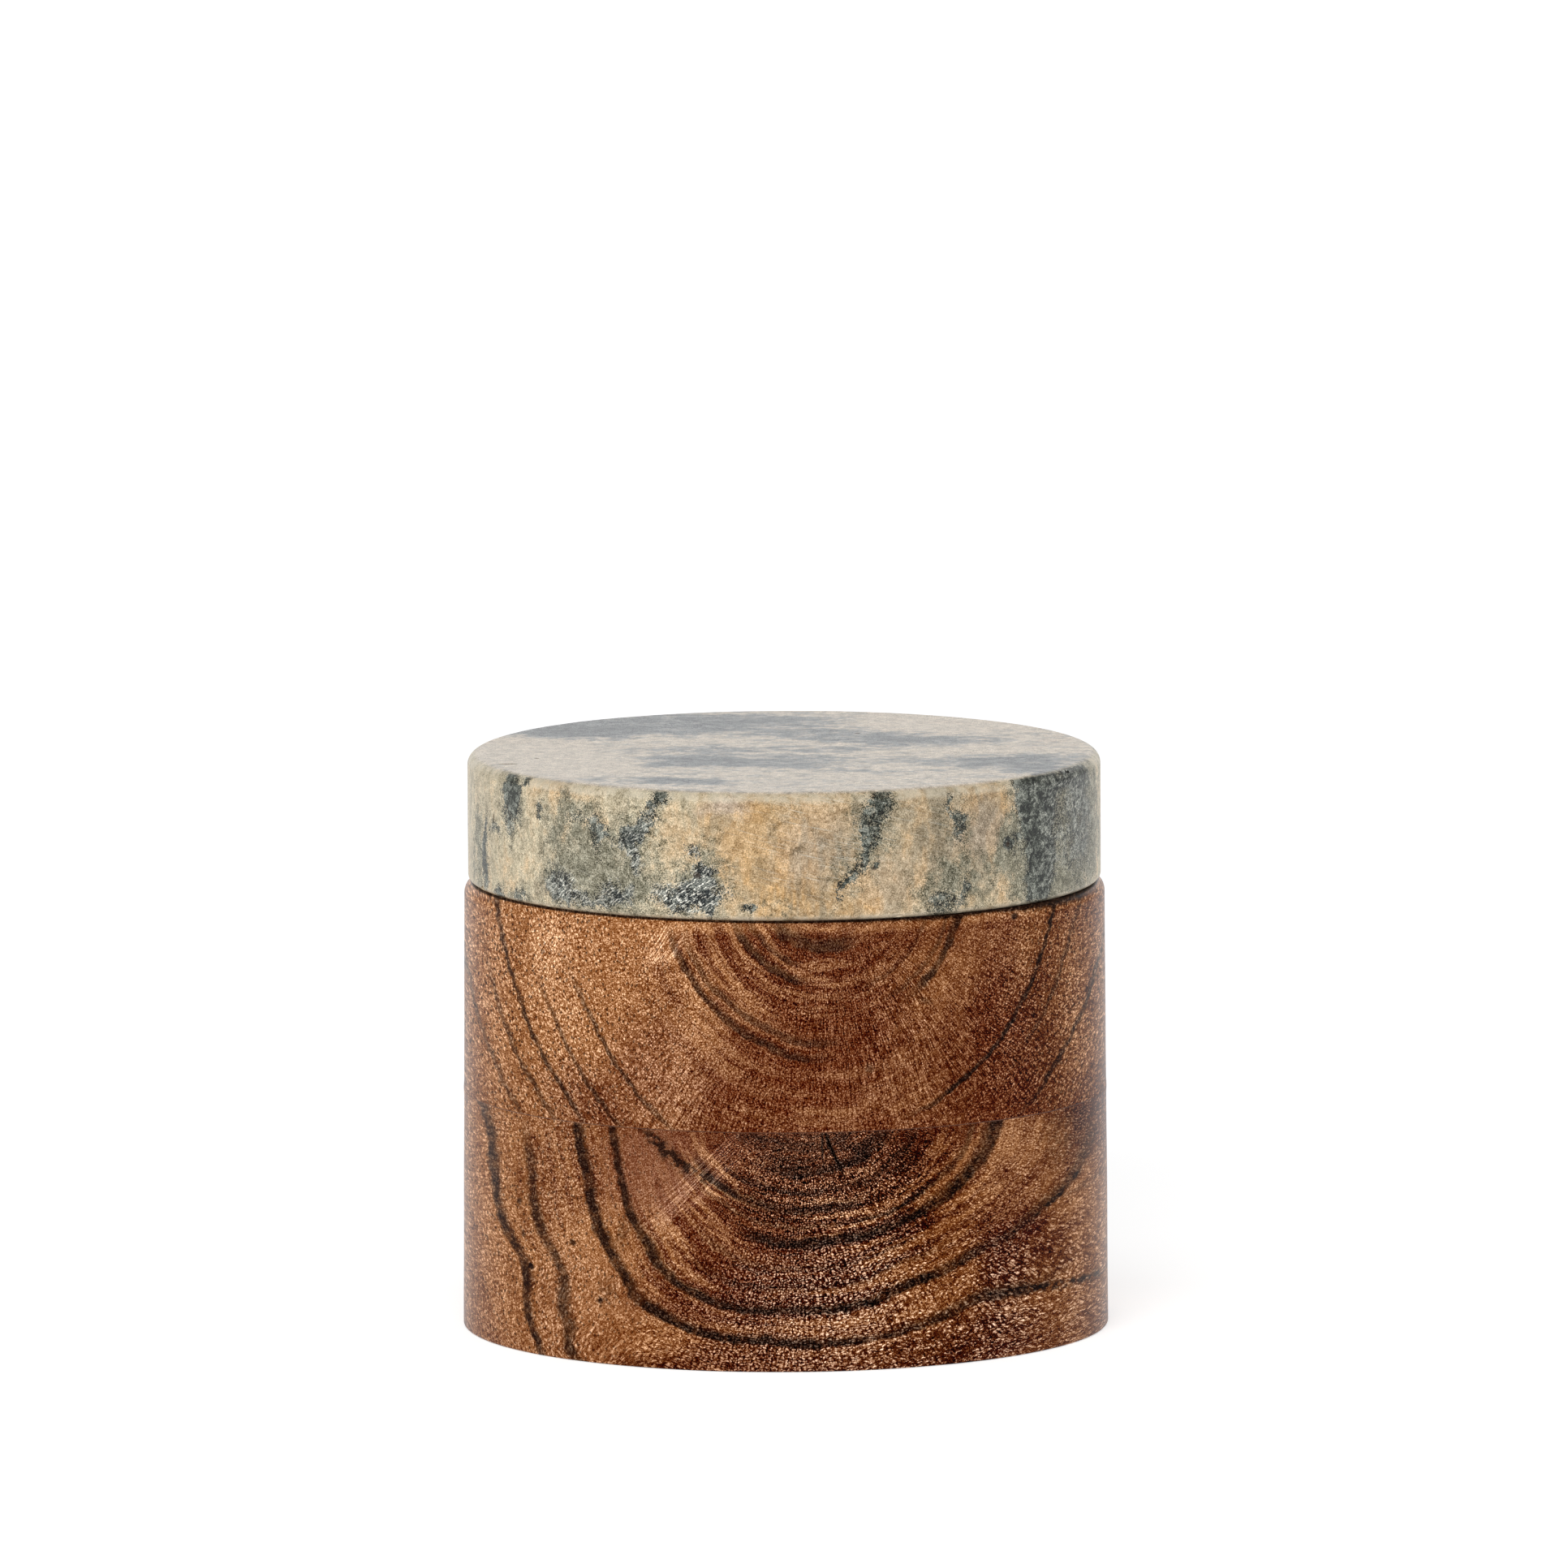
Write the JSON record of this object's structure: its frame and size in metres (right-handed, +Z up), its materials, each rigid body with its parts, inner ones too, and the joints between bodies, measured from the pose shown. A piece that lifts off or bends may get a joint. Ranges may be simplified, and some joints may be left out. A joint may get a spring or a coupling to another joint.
{
  "type": "wooden storage jar",
  "caption": "Round storage jar turned from end-grain acacia, with a thick stone lid that lifts off on a grooved wooden plug with a silicone sealing ring.",
  "frame": {"origin": "centre of the underside, on the surface that the jar stands on", "axes": "+Z up along the jar's axis; the end grain of the two boards faces -Y, the front, and +Y; +X to the right seen from the front"},
  "size_m": [0.105, 0.105, 0.0937],
  "materials": {
    "acacia": "satin",
    "wood_glue": "matte",
    "lid_stone": "satin",
    "adhesive": "satin",
    "silicone": "satin"
  },
  "bodies": {
    "jar": {"lower_board": "acacia", "upper_board": "acacia", "glue_line": "wood_glue"},
    "seal": {"sealing_ring": "silicone"},
    "lid": {"lid_stone": "lid_stone", "lid_adhesive": "adhesive", "lid_plug": "acacia"}
  },
  "joints": [
    {"name": "lid_lift", "type": "slide", "parent": "jar", "child": "seal", "axis": [0, 0, 1], "range_m": [0, 0.12]},
    {"name": "lid_turn", "type": "hinge", "parent": "seal", "child": "lid", "pos_m": [0, 0, 0.0729], "axis": [0, 0, 1], "continuous": true}
  ]
}
